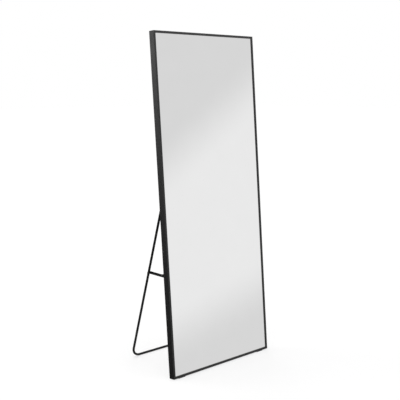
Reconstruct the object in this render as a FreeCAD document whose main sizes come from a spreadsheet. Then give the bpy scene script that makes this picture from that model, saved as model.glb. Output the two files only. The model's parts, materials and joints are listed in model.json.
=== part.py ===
"""Leaning floor mirror with a folding U stand, in millimetres and degrees.

+Z is up, +X is to the viewer's right from in front of the glass, and +Y is to the rear.
The origin is on the floor, at the middle of the whole object's footprint box.
Most pieces are drawn upright in the mirror's own frame, whose zero is the middle of the
frame's front lower edge, and are then leaned back together.
"""
import FreeCAD, Part
import math
import os
import Sketcher

ORIGIN = FreeCAD.Vector(0, 0, 0)
AXIS_X = FreeCAD.Vector(1, 0, 0)
AXIS_Y = FreeCAD.Vector(0, 1, 0)
QUARTER_TURN = 90.0
FULL_TURN = 360.0
NUT_SIDES = 6
LEFT, RIGHT = -1, 1
SIDES = ((LEFT, "left"), (RIGHT, "right"))
SAME_LINE = 0.001  # how near an edge lies to a line, in millimetres, when it counts as on it

# ---------------------------------------------------------------- driving dimensions
DIMENSIONS = (
    # the mirror as a whole
    ("frame_height", 1500.0),
    ("frame_width", 600.0),
    ("frame_depth", 30.0),
    ("lean_angle", 4.6),
    # the extruded frame section
    ("face_width", 10.0),
    ("frame_wall", 1.5),
    ("glass_recess", 3.0),
    ("groove_slack", 0.2),
    # what the groove holds, from the front
    ("glass_thickness", 4.0),
    ("film_thickness", 0.2),
    ("foam_thickness", 1.0),
    ("board_thickness", 3.0),
    ("glass_side_gap", 1.5),
    # corner keys and their screws
    ("key_arm", 40.0),
    ("key_clearance", 0.1),
    ("key_screw_from_corner", 27.0),
    ("key_screw_radius", 2.0),
    ("key_screw_length", 8.0),
    # rubber feet under the bottom rail
    ("pad_length", 40.0),
    ("pad_rear_thickness", 1.6),
    ("pad_from_side", 30.0),
    ("pad_edge_margin", 3.0),
    ("pad_corner_radius", 3.0),
    ("pad_stud_radius", 2.0),
    ("pad_stud_length", 4.0),
    # U stand
    ("tube_radius", 5.5),
    ("tube_wall", 1.2),
    ("tube_bend_radius", 45.0),
    ("tube_inset", 44.0),
    ("tube_end", 9.0),
    ("pivot_height", 826.0),
    ("pivot_setback", 9.0),
    ("foot_setback", 324.0),
    ("plug_head_height", 2.0),
    ("plug_depth", 4.5),
    ("plug_clearance", 0.05),
    # folding stays
    ("stay_height", 434.0),
    ("stay_on_leg", 408.0),
    ("link_width", 13.0),
    ("link_thickness", 2.0),
    ("link_spacer", 1.7),
    ("link_gap", 1.9),
    ("side_gap", 0.3),
    ("nose_reach", 13.0),
    ("lip_length", 5.0),
    ("lip_bend", 1.5),
    # brackets on the stiles
    ("bracket_thickness", 2.0),
    ("bracket_height", 44.0),
    ("bracket_sink", 0.5),
    ("bracket_flange", 14.0),
    ("bracket_bend", 1.5),
    ("ear_radius", 8.0),
    ("bracket_screw_spacing", 28.0),
    ("bracket_screw_radius", 2.0),
    ("bracket_screw_length", 8.0),
    ("bracket_screw_head_radius", 3.6),
    ("bracket_screw_head_height", 1.6),
    # stand bolts
    ("bolt_radius", 3.0),
    ("bolt_head_radius", 5.5),
    ("bolt_head_height", 3.4),
    ("nut_across_corners", 11.5),
    ("nut_height", 5.0),
    ("nut_collar_height", 1.6),
    ("nut_collar_radius", 4.6),
    ("bolt_past_nut", 1.2),
    ("washer_radius", 6.0),
    ("washer_thickness", 1.0),
    # rivets
    ("rivet_radius", 2.5),
    ("rivet_head_radius", 4.3),
    ("rivet_head_height", 1.2),
    ("spacer_radius", 5.2),
    # clearances of pins and screws in their holes
    ("running_clearance", 0.08),
    ("seat_clearance", 0.05),
)

doc = FreeCAD.newDocument("leaning_floor_mirror")
sheet = doc.addObject("Spreadsheet::Sheet", "dims")
for row, (alias, value) in enumerate(DIMENSIONS, start=1):
    sheet.set(f"A{row}", alias)
    sheet.set(f"B{row}", str(value))
    sheet.setAlias(f"B{row}", alias)
doc.recompute()


class Sizes:
    """The driving dimensions read from the sheet, each as a plain number."""

    def __getattr__(self, alias):
        return float(sheet.get(alias))


size = Sizes()
SUBPARTS = []


def expression(text):
    """A formula in words of the sheet: every alias gets the sheet's name in front."""
    words = sorted((alias for alias, _ in DIMENSIONS), key=len, reverse=True)
    marked = text
    for place, alias in enumerate(words):
        marked = marked.replace(alias, f"@{place}@")
    for place, alias in enumerate(words):
        marked = marked.replace(f"@{place}@", f"dims.{alias}")
    return marked


# ---------------------------------------------------------------- drawing helpers
def bind(thing, target, text):
    """Ties one property of a thing to a formula of the sheet."""
    thing.setExpression(target, expression(text))


def number(thing, text):
    """The present value of a formula of the sheet."""
    value = thing.evalExpression(expression(text))
    return float(getattr(value, "Value", value))


def new_body(label, placement, member=False):
    """An empty body: one sub-part, or a member of a group of like pieces."""
    body = doc.addObject("PartDesign::Body", label)
    body.Label = label
    body.Placement = placement
    if not member:
        SUBPARTS.append(body)
    return body


def group(label, members):
    """Identical small pieces that share one node, as separate solids."""
    compound = doc.addObject("Part::Compound", label)
    compound.Label = label
    compound.Links = members
    SUBPARTS.append(compound)


def new_sketch(body, plane, height="0"):
    """A sketch on one of the body's own planes, raised by height along the plane's normal."""
    sketch = body.newObject("Sketcher::SketchObject", f"{body.Name}_sketch")
    origin_plane = [item for item in body.Origin.OriginFeatures if item.Role == plane][0]
    sketch.AttachmentSupport = [(origin_plane, "")]
    sketch.MapMode = "FlatFace"
    bind(sketch, "AttachmentOffset.Base.z", height)
    return sketch


def fix(sketch, kind, element, point, text):
    """Holds a point of the sketch at a distance from its zero, by a formula."""
    constraint = Sketcher.Constraint(kind, -1, 1, element, point, number(sketch, text))
    bind(sketch, f"Constraints[{sketch.addConstraint(constraint)}]", text)


def set_radius(sketch, element, text):
    """Gives a circle or arc of the sketch its radius, by a formula."""
    constraint = Sketcher.Constraint("Radius", element, number(sketch, text))
    bind(sketch, f"Constraints[{sketch.addConstraint(constraint)}]", text)


def draw_polygon(sketch, corners):
    """A closed outline through corners, each a pair of formulas."""
    first = sketch.GeometryCount
    count = len(corners)
    places = [FreeCAD.Vector(number(sketch, across), number(sketch, along), 0) for across, along in corners]
    for index, place in enumerate(places):
        sketch.addGeometry(Part.LineSegment(place, places[(index + 1) % count]), False)
    for index in range(count):
        following = first + (index + 1) % count
        sketch.addConstraint(Sketcher.Constraint("Coincident", first + index, 2, following, 1))
    for index, (across, along) in enumerate(corners):
        fix(sketch, "DistanceX", first + index, 1, across)
        fix(sketch, "DistanceY", first + index, 1, along)


def draw_circle(sketch, across, along, radius):
    """A circle whose centre and radius are formulas."""
    centre = FreeCAD.Vector(number(sketch, across), number(sketch, along), 0)
    circle = Part.Circle(centre, FreeCAD.Vector(0, 0, 1), number(sketch, radius))
    element = sketch.addGeometry(circle, False)
    set_radius(sketch, element, radius)
    fix(sketch, "DistanceX", element, 3, across)
    fix(sketch, "DistanceY", element, 3, along)


def draw_strap(sketch, length, radius):
    """A strap with round ends: from the sketch's zero along its first axis."""
    reach = number(sketch, length)
    half = number(sketch, radius)
    normal = FreeCAD.Vector(0, 0, 1)
    near_end = Part.Circle(ORIGIN, normal, half)
    far_end = Part.Circle(FreeCAD.Vector(reach, 0, 0), normal, half)
    quarter = math.radians(QUARTER_TURN)
    upper = Part.LineSegment(FreeCAD.Vector(0, half, 0), FreeCAD.Vector(reach, half, 0))
    lower = Part.LineSegment(FreeCAD.Vector(0, -half, 0), FreeCAD.Vector(reach, -half, 0))
    near = sketch.addGeometry(Part.ArcOfCircle(near_end, quarter, 3 * quarter), False)
    far = sketch.addGeometry(Part.ArcOfCircle(far_end, -quarter, quarter), False)
    top = sketch.addGeometry(upper, False)
    base = sketch.addGeometry(lower, False)
    joins = ((near, 1, top, 1), (near, 2, base, 1), (far, 2, top, 2), (far, 1, base, 2))
    for arc, arc_point, line, line_point in joins:
        sketch.addConstraint(Sketcher.Constraint("Tangent", arc, arc_point, line, line_point))
    sketch.addConstraint(Sketcher.Constraint("Coincident", near, 3, -1, 1))
    sketch.addConstraint(Sketcher.Constraint("PointOnObject", far, 3, -1))
    sketch.addConstraint(Sketcher.Constraint("Equal", near, far))
    set_radius(sketch, near, radius)
    fix(sketch, "DistanceX", far, 3, length)


def pad(body, sketch, length, reverse=False, midplane=False):
    """Gives a sketch its thickness."""
    feature = body.newObject("PartDesign::Pad", f"{body.Name}_pad")
    feature.Profile = sketch
    feature.Reversed = reverse
    feature.Midplane = midplane
    bind(feature, "Length", length)
    sketch.Visibility = False


def cut_through(body, sketch):
    """Cuts a sketch through the whole body, on both sides of its plane."""
    feature = body.newObject("PartDesign::Pocket", f"{body.Name}_cut")
    feature.Profile = sketch
    feature.Type = "ThroughAll"
    feature.Midplane = True


def turn(body, sketch, axis):
    """Revolves a half outline about an axis of its sketch."""
    feature = body.newObject("PartDesign::Revolution", f"{body.Name}_turned")
    feature.Profile = sketch
    feature.ReferenceAxis = (sketch, [axis])
    feature.Angle = FULL_TURN


def edges_along(shape, direction, places):
    """Names of the straight edges that run along a direction through the given places."""
    names = []
    for index, edge in enumerate(shape.Edges, start=1):
        start, end = edge.Vertexes[0].Point, edge.Vertexes[-1].Point
        straight = edge.Curve.TypeId == "Part::GeomLine"
        if not straight or (end - start).cross(direction).Length > SAME_LINE:
            continue
        if any((place - start).cross(direction).Length < SAME_LINE for place in places):
            names.append(f"Edge{index}")
    return names


def round_edges(body, direction, places, radius):
    """Fillets the straight edges of a body that pass through the given places."""
    doc.recompute()
    base = body.Tip
    names = edges_along(base.Shape, direction, places)
    feature = body.newObject("PartDesign::Fillet", f"{body.Name}_rounding")
    feature.Base = (base, names)
    bind(feature, "Radius", radius)


# ---------------------------------------------------------------- where things lie
lean = math.radians(size.lean_angle)
groove_rear = ("(glass_recess + glass_thickness + film_thickness + foam_thickness + board_thickness"
               " + groove_slack)")
pad_drop = size.pad_rear_thickness + (size.frame_depth - size.pad_edge_margin) * math.tan(lean)
footprint = size.frame_depth * math.cos(lean) + size.foot_setback + size.tube_radius
MIRROR = FreeCAD.Placement(
    FreeCAD.Vector(0, -footprint / 2, pad_drop * math.cos(lean)),
    FreeCAD.Rotation(AXIS_X, -size.lean_angle),
)


def on_mirror(across, back, up):
    """A point given in the upright mirror's frame, after the lean."""
    return MIRROR.multVec(FreeCAD.Vector(across, back, up))


hinge = on_mirror(0, size.frame_depth + size.pivot_setback, size.pivot_height)
stay_anchor = on_mirror(0, size.frame_depth + size.pivot_setback, size.stay_height)
foot = FreeCAD.Vector(0, footprint / 2 - size.tube_radius, size.tube_radius)
leg = foot - hinge
leg_length = leg.Length
leg_angle = math.degrees(math.atan2(leg.y, -leg.z))
STAND = FreeCAD.Placement(hinge, FreeCAD.Rotation(AXIS_X, leg_angle))
leg_joint = STAND.multVec(FreeCAD.Vector(0, 0, -size.stay_on_leg))

# Both links lie in one line when the stand is open and side by side when it is folded.
stay_line = leg_joint - stay_anchor
stay_offset = size.stay_on_leg - (size.pivot_height - size.stay_height)
front_link_length = (stay_line.Length - stay_offset) / 2
rear_link_length = (stay_line.Length + stay_offset) / 2
stay_slope = math.degrees(math.atan2(stay_line.z, stay_line.y))

# Sideways order of what turns, each counted inwards from the frame's outer side.
tube_face = "(tube_inset + tube_radius)"
rear_link_face = f"({tube_face} + link_spacer + side_gap)"
front_link_face = f"({rear_link_face} + link_thickness + link_gap)"
stay_ear_face = f"({front_link_face} + link_thickness + side_gap)"
hinge_ear_face = f"({tube_face} + side_gap + washer_thickness)"


def across(side, inward):
    """Formula of the place across the mirror that is so far inwards from its outer side."""
    return f"({side}) * (frame_width / 2 - ({inward}))"


# ---------------------------------------------------------------- mitred frame
# A hole through one wall is cut from a wall's thickness before it to a wall's thickness behind it.
through_wall = "(3 * frame_wall)"


def frame_member(label, length, corner, quarter_turns, holes):
    """One extruded length: lip, glazing groove and hollow chamber, mitred at both ends.

    Its own first axis runs inwards from the frame's outer side and its third along it.
    Each hole is (plane, first place, second place, radius, height where it starts).
    """
    placement = MIRROR * FreeCAD.Placement(corner, FreeCAD.Rotation(AXIS_Y, quarter_turns * QUARTER_TURN))
    body = new_body(label, placement)
    section = new_sketch(body, "XY_Plane")
    draw_polygon(section, (
        ("0", "0"),
        ("face_width", "0"),
        ("face_width", "glass_recess"),
        ("face_width - frame_wall", "glass_recess"),
        ("face_width - frame_wall", "frame_wall"),
        ("frame_wall", "frame_wall"),
        ("frame_wall", groove_rear),
        ("face_width", groove_rear),
        ("face_width", "frame_depth"),
        ("0", "frame_depth"),
    ))
    draw_polygon(section, (
        ("frame_wall", f"{groove_rear} + frame_wall"),
        ("frame_wall", "frame_depth - frame_wall"),
        ("face_width - frame_wall", "frame_depth - frame_wall"),
        ("face_width - frame_wall", f"{groove_rear} + frame_wall"),
    ))
    pad(body, section, length)
    mitres = new_sketch(body, "XZ_Plane")
    past = "(2 * face_width)"
    draw_polygon(mitres, (("0", "0"), (past, past), (past, "-face_width"), ("0", "-face_width")))
    draw_polygon(mitres, (("0", length), (past, f"{length} - {past}"), (past, f"{length} + face_width"),
                          ("0", f"{length} + face_width")))
    cut_through(body, mitres)
    for plane, first, second, radius, start in holes:
        drill_wall(body, plane, first, second, radius, start)


def drill_wall(body, plane, first, second, radius, start):
    """Drills one wall, downwards from a height over the plane."""
    sketch = new_sketch(body, plane, start)
    draw_circle(sketch, first, second, radius)
    feature = body.newObject("PartDesign::Pocket", f"{body.Name}_hole")
    feature.Profile = sketch
    bind(feature, "Length", through_wall)


def key_screw_holes(length):
    """Holes in a member's rear wall for the screws into the two corner keys that it holds.

    The plane's normal runs to the front, so the rear face is at minus the frame's depth.
    """
    radius, start = "key_screw_radius + seat_clearance", "-frame_depth + 2 * frame_wall"
    for place in ("key_screw_from_corner", f"{length} - key_screw_from_corner"):
        yield "XZ_Plane", "face_width / 2", place, radius, start


def bracket_screw_holes(from_top):
    """Holes in a stile's inner wall for the screws of its two brackets."""
    radius, start = "bracket_screw_radius + seat_clearance", "face_width + frame_wall"
    for centre in ("pivot_height", "stay_height"):
        for step in ("-bracket_screw_spacing / 2", "bracket_screw_spacing / 2"):
            height = f"{centre} + {step}"
            along = f"frame_height - ({height})" if from_top else height
            yield "YZ_Plane", bracket_screw_row, along, radius, start


bracket_web_rear = "(frame_depth - bracket_sink)"
bracket_screw_row = f"({bracket_web_rear} - bracket_flange / 2 - bracket_thickness / 2)"


def pad_stud_holes():
    """Holes in the bottom rail's outer wall for the studs of the rubber feet."""
    for place in ("pad_from_side + pad_length / 2", "frame_width - pad_from_side - pad_length / 2"):
        yield "YZ_Plane", pad_stud_row, place, "pad_stud_radius + seat_clearance", "2 * frame_wall"


pad_stud_row = f"(({groove_rear} + frame_depth) / 2)"
half_width = size.frame_width / 2
frame_member("left_stile", "frame_height", FreeCAD.Vector(-half_width, 0, 0), 0,
             [*key_screw_holes("frame_height"), *bracket_screw_holes(False)])
frame_member("top_rail", "frame_width", FreeCAD.Vector(-half_width, 0, size.frame_height), 1,
             key_screw_holes("frame_width"))
frame_member("right_stile", "frame_height", FreeCAD.Vector(half_width, 0, size.frame_height), 2,
             [*key_screw_holes("frame_height"), *bracket_screw_holes(True)])
frame_member("bottom_rail", "frame_width", FreeCAD.Vector(half_width, 0, 0), 3,
             [*key_screw_holes("frame_width"), *pad_stud_holes()])


# ---------------------------------------------------------------- corner keys
def corner_key(label, corner, quarter_turns):
    """An L-shaped key that fills the chambers of two members and carries their screws."""
    placement = MIRROR * FreeCAD.Placement(corner, FreeCAD.Rotation(AXIS_Y, quarter_turns * QUARTER_TURN))
    body = new_body(label, placement)
    outer = "frame_wall + key_clearance"
    inner = "face_width - frame_wall - key_clearance"
    outline = new_sketch(body, "XZ_Plane", "-(frame_depth - frame_wall - key_clearance)")
    draw_polygon(outline, ((outer, outer), ("key_arm", outer), ("key_arm", inner), (inner, inner),
                           (inner, "key_arm"), (outer, "key_arm")))
    pad(body, outline, f"frame_depth - 2 * frame_wall - 2 * key_clearance - {groove_rear}")
    screw_line = "face_width / 2"
    holes = new_sketch(body, "XZ_Plane")
    draw_circle(holes, screw_line, "key_screw_from_corner", "key_screw_radius + seat_clearance")
    draw_circle(holes, "key_screw_from_corner", screw_line, "key_screw_radius + seat_clearance")
    cut_through(body, holes)


for corner_name, side, top, quarter_turns in (
    ("bottom_left", LEFT, 0, 0),
    ("top_left", LEFT, 1, 1),
    ("top_right", RIGHT, 1, 2),
    ("bottom_right", RIGHT, 0, 3),
):
    corner = FreeCAD.Vector(side * half_width, 0, top * size.frame_height)
    corner_key(f"{corner_name}_corner_key", corner, quarter_turns)


# ---------------------------------------------------------------- glass and backing
def panel(label, front, thickness, edge_gap):
    """A flat sheet in the frame's groove, from front to front + thickness."""
    body = new_body(label, MIRROR)
    outline = new_sketch(body, "XZ_Plane", f"-({front})")
    edge = f"(frame_wall + {edge_gap})"
    left, right = f"-(frame_width / 2 - {edge})", f"frame_width / 2 - {edge}"
    bottom, top = edge, f"frame_height - {edge}"
    draw_polygon(outline, ((left, bottom), (right, bottom), (right, top), (left, top)))
    pad(body, outline, thickness, reverse=True)


panel("mirror_glass", "glass_recess", "glass_thickness", "glass_side_gap")
panel("safety_film", "glass_recess + glass_thickness", "film_thickness", "glass_side_gap")
panel("foam_sheet", "glass_recess + glass_thickness + film_thickness", "foam_thickness", "glass_side_gap")
panel("backboard", "glass_recess + glass_thickness + film_thickness + foam_thickness", "board_thickness",
      "glass_side_gap / 2")


# ---------------------------------------------------------------- rubber feet
def foot_pad(side, name):
    """A wedge of rubber whose top follows the leaning rail and whose underside is level."""
    body = new_body(f"{name}_foot_pad", MIRROR)
    middle = across(side, "pad_from_side + pad_length / 2")
    section = new_sketch(body, "YZ_Plane", middle)
    front, rear = "pad_edge_margin", "frame_depth - pad_edge_margin"
    draw_polygon(section, (
        (front, "0"),
        (rear, "0"),
        (rear, "-pad_rear_thickness"),
        (front, f"-pad_rear_thickness - ({rear} - ({front})) * tan(lean_angle * 1 deg)"),
    ))
    pad(body, section, "pad_length", midplane=True)
    upright = FreeCAD.Vector(0, 0, 1)
    places = [FreeCAD.Vector(number(body, middle) + step * size.pad_length / 2, back, 0)
              for step in (-1, 1) for back in (size.pad_edge_margin, size.frame_depth - size.pad_edge_margin)]
    round_edges(body, upright, places, "pad_corner_radius")
    stud = new_sketch(body, "XY_Plane")
    draw_circle(stud, middle, pad_stud_row, "pad_stud_radius")
    pad(body, stud, "pad_stud_length")


for side, name in SIDES:
    foot_pad(side, name)


# ---------------------------------------------------------------- brackets on the stiles
def bracket(label, side, height, ear_face, hole_radius):
    """A folded steel bracket: flange on the stile's inner wall, web across, ear to the rear."""
    centre = on_mirror(0, 0, number(sheet, height))
    body = new_body(label, FreeCAD.Placement(centre, MIRROR.Rotation))
    web_rear = bracket_web_rear
    web_front = f"({web_rear} - bracket_thickness)"
    ear_end = "frame_depth + pivot_setback + ear_radius"
    stations = (
        ("face_width", f"{web_rear} - bracket_flange"),
        ("face_width + bracket_thickness", f"{web_rear} - bracket_flange"),
        ("face_width + bracket_thickness", web_front),
        (f"{ear_face} + bracket_thickness", web_front),
        (f"{ear_face} + bracket_thickness", ear_end),
        (ear_face, ear_end),
        (ear_face, web_rear),
        ("face_width", web_rear),
    )
    fold = new_sketch(body, "XY_Plane")
    draw_polygon(fold, [(across(side, inward), back) for inward, back in stations])
    pad(body, fold, "bracket_height", midplane=True)
    inner_bends = [stations[2], stations[6]]
    outer_bends = [stations[3], stations[7]]
    upright = FreeCAD.Vector(0, 0, 1)
    for bends, radius in ((outer_bends, "bracket_bend + bracket_thickness"), (inner_bends, "bracket_bend")):
        places = [FreeCAD.Vector(number(body, across(side, inward)), number(body, back), 0)
                  for inward, back in bends]
        round_edges(body, upright, places, radius)
    # the ear narrows from the web's height to a round end about the pivot
    trim = new_sketch(body, "YZ_Plane")
    half = "bracket_height / 2"
    past = "bracket_height"
    for sign in ("", "-"):
        draw_polygon(trim, (
            (f"{web_rear} + bracket_bend", f"{sign}({half})"),
            ("frame_depth + pivot_setback", f"{sign}(ear_radius)"),
            (f"{ear_end} + ear_radius", f"{sign}(ear_radius)"),
            (f"{ear_end} + ear_radius", f"{sign}({past})"),
            (f"{web_rear} + bracket_bend", f"{sign}({past})"),
        ))
    cut_through(body, trim)
    ear_x = number(body, across(side, ear_face))
    tips = [FreeCAD.Vector(ear_x, number(body, ear_end), sign * size.ear_radius) for sign in (-1, 1)]
    round_edges(body, AXIS_X, tips, "ear_radius - seat_clearance")
    holes = new_sketch(body, "YZ_Plane")
    draw_circle(holes, "frame_depth + pivot_setback", "0", hole_radius)
    for step in ("-bracket_screw_spacing / 2", "bracket_screw_spacing / 2"):
        draw_circle(holes, bracket_screw_row, step, "bracket_screw_radius + seat_clearance")
    cut_through(body, holes)


for side, name in SIDES:
    bracket(f"{name}_hinge_bracket", side, "pivot_height", hinge_ear_face, "bolt_radius + seat_clearance")
    bracket(f"{name}_stay_bracket", side, "stay_height", stay_ear_face, "rivet_radius + seat_clearance")


# ---------------------------------------------------------------- turned pieces on the pivots
def turned(label, placement, side, outline, member=True):
    """A piece turned about the sideways axis: outline is (inward place, radius) pairs."""
    body = new_body(label, placement, member)
    half = new_sketch(body, "XY_Plane")
    draw_polygon(half, [(across(side, inward), radius) for inward, radius in outline])
    turn(body, half, "H_Axis")
    return body


def ring(label, placement, side, start, thickness, outer, hole, member=True):
    """A flat washer or spacer."""
    end = f"{start} + {thickness}"
    return turned(label, placement, side, ((start, hole), (start, outer), (end, outer), (end, hole)), member)


def headed_pin(label, placement, side, shank, head, low, high, member=True):
    """A pin with round heads: shank and head are radii, low and high the head's outer faces or None."""
    start, end, head_start, head_end = low[0], high[0], low[1], high[1]
    outline = [(head_start or start, "0")]
    if head_start:
        outline += [(head_start, head), (start, head)]
    outline += [(start, shank), (end, shank)]
    if head_end:
        outline += [(end, head), (head_end, head)]
    outline += [(head_end or end, "0")]
    return turned(label, placement, side, outline, member)


def at_height(up):
    """The pivot line behind the frame at a height along the mirror."""
    return FreeCAD.Placement(on_mirror(0, size.frame_depth + size.pivot_setback, up), MIRROR.Rotation)


HINGE_PLACE = at_height(size.pivot_height)
ANCHOR_PLACE = at_height(size.stay_height)
tube_outer_face = "(tube_inset - tube_radius)"
bolt_head_face = f"({tube_outer_face} - side_gap - washer_thickness)"
nut_face = f"({hinge_ear_face} + bracket_thickness)"


def hinge_bolt(side, name):
    """A round-headed bolt from outside, through the tube and the bracket's ear into the nut."""
    tip = f"({nut_face} + nut_height + bolt_past_nut)"
    return headed_pin(f"{name}_hinge_bolt", HINGE_PLACE, side, "bolt_radius", "bolt_head_radius",
                      (bolt_head_face, f"({bolt_head_face} - bolt_head_height)"), (tip, None))


def lock_nut(side, name):
    """A hexagon nut with a round locking collar."""
    body = new_body(f"{name}_lock_nut", HINGE_PLACE, member=True)
    hexagon = new_sketch(body, "YZ_Plane", across(side, nut_face))
    corners = []
    for step in range(NUT_SIDES):
        angle = f"({step * FULL_TURN / NUT_SIDES} deg)"
        corners.append((f"nut_across_corners / 2 * cos{angle}", f"nut_across_corners / 2 * sin{angle}"))
    draw_polygon(hexagon, corners)
    pad(body, hexagon, "nut_height - nut_collar_height", reverse=side == RIGHT)
    collar = new_sketch(body, "YZ_Plane", across(side, f"{nut_face} + nut_height - nut_collar_height"))
    draw_circle(collar, "0", "0", "nut_collar_radius")
    pad(body, collar, "nut_collar_height", reverse=side == RIGHT)
    bore = new_sketch(body, "YZ_Plane")
    draw_circle(bore, "0", "0", "bolt_radius + seat_clearance")
    cut_through(body, bore)
    return body


def bracket_screw(label, side, up):
    """A pan-head screw through a bracket's flange into the stile's chamber."""
    place = FreeCAD.Placement(on_mirror(0, number(sheet, bracket_screw_row), up), MIRROR.Rotation)
    seat = "(face_width + bracket_thickness)"
    return headed_pin(label, place, side, "bracket_screw_radius", "bracket_screw_head_radius",
                      (f"({seat} - bracket_screw_length)", None),
                      (seat, f"({seat} + bracket_screw_head_height)"))


def key_screw(label, x, z):
    """A set screw through a member's rear wall into a corner key, flush with the rear face."""
    place = MIRROR * FreeCAD.Placement(FreeCAD.Vector(x, 0, z), FreeCAD.Rotation())
    body = new_body(label, place, member=True)
    section = new_sketch(body, "XZ_Plane", "-frame_depth")
    draw_circle(section, "0", "0", "key_screw_radius")
    pad(body, section, "key_screw_length")
    return body


hinge_bolts, washers, lock_nuts, bracket_screws = [], [], [], []
for side, name in SIDES:
    hinge_bolts.append(hinge_bolt(side, name))
    for place, start in (("outer", bolt_head_face), ("inner", f"({tube_face} + side_gap)")):
        washers.append(ring(f"{name}_{place}_washer", HINGE_PLACE, side, start, "washer_thickness",
                            "washer_radius", "bolt_radius + seat_clearance"))
    lock_nuts.append(lock_nut(side, name))
    for centre in (size.pivot_height, size.stay_height):
        for step in (-1, 1):
            up = centre + step * size.bracket_screw_spacing / 2
            bracket_screws.append(bracket_screw(f"bracket_screw_{len(bracket_screws) + 1}", side, up))
group("hinge_bolts", hinge_bolts)
group("hinge_washers", washers)
group("hinge_lock_nuts", lock_nuts)
group("bracket_screws", bracket_screws)

key_screws = []
line = size.face_width / 2
run = size.key_screw_from_corner
for side, _ in SIDES:
    for top in (0, 1):
        for inward, upward in ((line, run), (run, line)):
            x = side * (half_width - inward)
            z = size.frame_height - upward if top else upward
            key_screws.append(key_screw(f"corner_screw_{len(key_screws) + 1}", x, z))
group("corner_screws", key_screws)


# ---------------------------------------------------------------- U stand
def stand_tube():
    """One length of round tube bent twice into a U and drilled for bolts and rivets."""
    body = new_body("stand_tube", STAND)
    reach = half_width - size.tube_inset
    bend = size.tube_bend_radius
    path = new_sketch(body, "XZ_Plane")
    quarter = math.radians(QUARTER_TURN)
    normal = FreeCAD.Vector(0, 0, 1)
    bend_height = -leg_length + bend
    left_bend = Part.Circle(FreeCAD.Vector(-reach + bend, bend_height, 0), normal, bend)
    right_bend = Part.Circle(FreeCAD.Vector(reach - bend, bend_height, 0), normal, bend)
    left_leg = FreeCAD.Vector(-reach, size.tube_end, 0), FreeCAD.Vector(-reach, bend_height, 0)
    foot_bar = FreeCAD.Vector(-reach + bend, -leg_length, 0), FreeCAD.Vector(reach - bend, -leg_length, 0)
    right_leg = FreeCAD.Vector(reach, bend_height, 0), FreeCAD.Vector(reach, size.tube_end, 0)
    path.addGeometry(Part.LineSegment(*left_leg))
    path.addGeometry(Part.ArcOfCircle(left_bend, 2 * quarter, 3 * quarter))
    path.addGeometry(Part.LineSegment(*foot_bar))
    path.addGeometry(Part.ArcOfCircle(right_bend, 3 * quarter, 4 * quarter))
    path.addGeometry(Part.LineSegment(*right_leg))
    section = new_sketch(body, "XY_Plane", "tube_end")
    draw_circle(section, across(LEFT, "tube_inset"), "0", "tube_radius")
    draw_circle(section, across(LEFT, "tube_inset"), "0", "tube_radius - tube_wall")
    pipe = body.newObject("PartDesign::AdditivePipe", "stand_tube_pipe")
    pipe.Profile = section
    pipe.Spine = (path, [f"Edge{index}" for index in range(1, 6)])
    holes = new_sketch(body, "YZ_Plane")
    draw_circle(holes, "0", "0", "bolt_radius + running_clearance")
    draw_circle(holes, "0", "-stay_on_leg", "rivet_radius + seat_clearance")
    cut_through(body, holes)


def tube_plug(side, name):
    """A flat-topped plastic plug in the tube's upper end."""
    place = STAND * FreeCAD.Placement(FreeCAD.Vector(side * (half_width - size.tube_inset), 0, size.tube_end),
                                      FreeCAD.Rotation())
    body = new_body(f"{name}_tube_plug", place)
    bore = "tube_radius - tube_wall - plug_clearance"
    half = new_sketch(body, "XZ_Plane")
    draw_polygon(half, (
        ("0", "-plug_depth"),
        (bore, "-plug_depth"),
        (bore, "0"),
        ("tube_radius", "0"),
        ("tube_radius", "plug_head_height"),
        ("0", "plug_head_height"),
    ))
    turn(body, half, "V_Axis")


stand_tube()
for side, name in SIDES:
    tube_plug(side, name)


# ---------------------------------------------------------------- folding stays
def link(label, side, face, length, start, slope):
    """A flat steel link with round ends and a hole at each, drawn from its own pivot.

    Its second axis runs along it and its first axis through its thickness.
    """
    inner = half_width - number(sheet, face)
    x = -inner if side == LEFT else inner - size.link_thickness
    pivot = FreeCAD.Vector(x, start.y, start.z)
    body = new_body(label, FreeCAD.Placement(pivot, FreeCAD.Rotation(AXIS_X, slope)))
    outline = new_sketch(body, "YZ_Plane")
    draw_strap(outline, str(length), "link_width / 2")
    pad(body, outline, "link_thickness")
    return body


def drill_link(body, length):
    """Drills a link: running clearance at its own pivot, a tight seat at the elbow."""
    holes = new_sketch(body, "YZ_Plane")
    draw_circle(holes, "0", "0", "rivet_radius + running_clearance")
    draw_circle(holes, str(length), "0", "rivet_radius + seat_clearance")
    cut_through(body, holes)


def stop_nose(body, side, length):
    """The rear link's nose past the elbow, whose folded lip bears on the front link's upper edge.

    The rear link is drawn from the leg forwards, so its third axis points down.
    """
    lip_under = "-(link_width / 2 + side_gap)"
    lip_top = f"({lip_under} - link_thickness)"
    nose_end = f"({length} + nose_reach)"
    lip_start = f"({nose_end} - lip_length)"
    nose = new_sketch(body, "YZ_Plane")
    lower, upper = "link_width / 2", "-link_width / 2"
    draw_polygon(nose, ((str(length), lower), (nose_end, lower), (nose_end, lip_top),
                        (lip_start, lip_top), (lip_start, upper), (str(length), upper)))
    pad(body, nose, "link_thickness")
    lip = new_sketch(body, "YZ_Plane", "0" if side == LEFT else "link_thickness")
    draw_polygon(lip, ((lip_start, lip_under), (nose_end, lip_under),
                       (nose_end, lip_top), (lip_start, lip_top)))
    pad(body, lip, "2 * link_thickness + link_gap", reverse=side == RIGHT)
    outer_edge = 0 if side == LEFT else size.link_thickness
    round_edges(body, AXIS_Y, [FreeCAD.Vector(outer_edge, 0, number(body, lip_top))], "lip_bend")


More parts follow.
